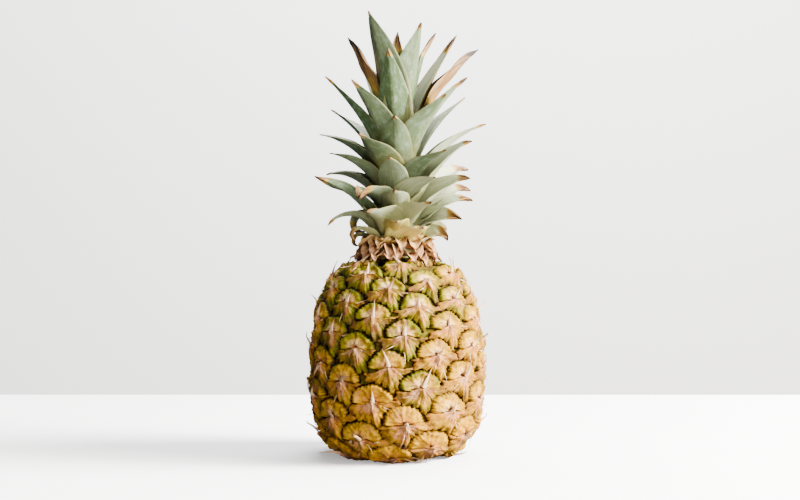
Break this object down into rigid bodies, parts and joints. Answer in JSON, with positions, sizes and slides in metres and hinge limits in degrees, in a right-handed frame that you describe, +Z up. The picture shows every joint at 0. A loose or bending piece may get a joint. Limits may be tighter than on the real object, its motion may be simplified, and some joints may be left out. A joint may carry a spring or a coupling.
{
  "type": "pineapple",
  "caption": "Whole ripe pineapple standing on its cut base, with a rind of spiralling eyes, a collar of dry bracts at the neck and a tall crown of stiff pointed leaves.",
  "frame": {"origin": "middle of the flat base that the fruit stands on", "axes": "+Z up the fruit's axis towards the crown, -Y towards the front"},
  "size_m": [0.123, 0.1214, 0.308],
  "materials": {
    "rind": "waxy golden yellow rind, greener towards the top",
    "cut_wood": "dried, fibrous cut end",
    "pale_stem": "smooth and pale",
    "dry_paper": "dry, brown and papery",
    "leaf_green": "waxy grey-green with a silvery bloom",
    "leaf_yellow": "waxy yellow-green, with dry brown tips"
  },
  "bodies": {
    "root": {"fruit": "rind", "cut_stem": "cut_wood", "crown_stem": "pale_stem", "dry_collar": "dry_paper", "leaf_right_1": "leaf_yellow", "leaf_left_1": "leaf_yellow", "leaf_front_right_1": "leaf_yellow", "leaf_left_2": "leaf_yellow", "leaf_back_1": "leaf_yellow", "leaf_back_right_1": "leaf_yellow", "leaf_right_2": "leaf_yellow", "leaf_front_1": "leaf_yellow", "leaf_left_4": "leaf_yellow", "leaf_back_left_1": "leaf_yellow", "leaf_front_left_1": "leaf_yellow", "leaf_left_3": "leaf_yellow", "leaf_front_right_2": "leaf_green", "leaf_left_5": "leaf_green", "leaf_right_3": "leaf_green", "leaf_back_2": "leaf_green", "leaf_back_right_2": "leaf_green", "leaf_front_2": "leaf_green", "leaf_back_left_2": "leaf_green", "leaf_front_left_2": "leaf_green", "leaf_back_right_3": "leaf_green", "leaf_right_4": "leaf_green", "leaf_front_right_3": "leaf_green", "leaf_left_6": "leaf_green", "leaf_back_3": "leaf_green", "leaf_front_3": "leaf_green", "leaf_back_right_4": "leaf_green", "leaf_front_right_4": "leaf_green", "leaf_left_7": "leaf_green", "leaf_back_left_3": "leaf_green", "leaf_right_5": "leaf_green", "leaf_left_8": "leaf_green", "leaf_back_right_5": "leaf_green", "leaf_front_left_3": "leaf_green", "leaf_back_right_6": "leaf_green", "leaf_back_left_4": "leaf_green", "leaf_front_4": "leaf_green", "leaf_back_4": "leaf_green", "leaf_front_right_5": "leaf_green", "leaf_left_9": "leaf_green", "leaf_right_6": "leaf_green", "leaf_back_5": "leaf_green", "leaf_front_left_4": "leaf_green", "leaf_back_right_7": "leaf_green", "leaf_back_left_5": "leaf_green", "leaf_back_right_8": "leaf_green", "leaf_front_5": "leaf_green", "leaf_right_7": "leaf_green", "leaf_left_10": "leaf_green", "leaf_front_right_6": "leaf_green", "leaf_back_6": "leaf_green", "leaf_front_left_5": "leaf_green"}
  },
  "joints": []
}
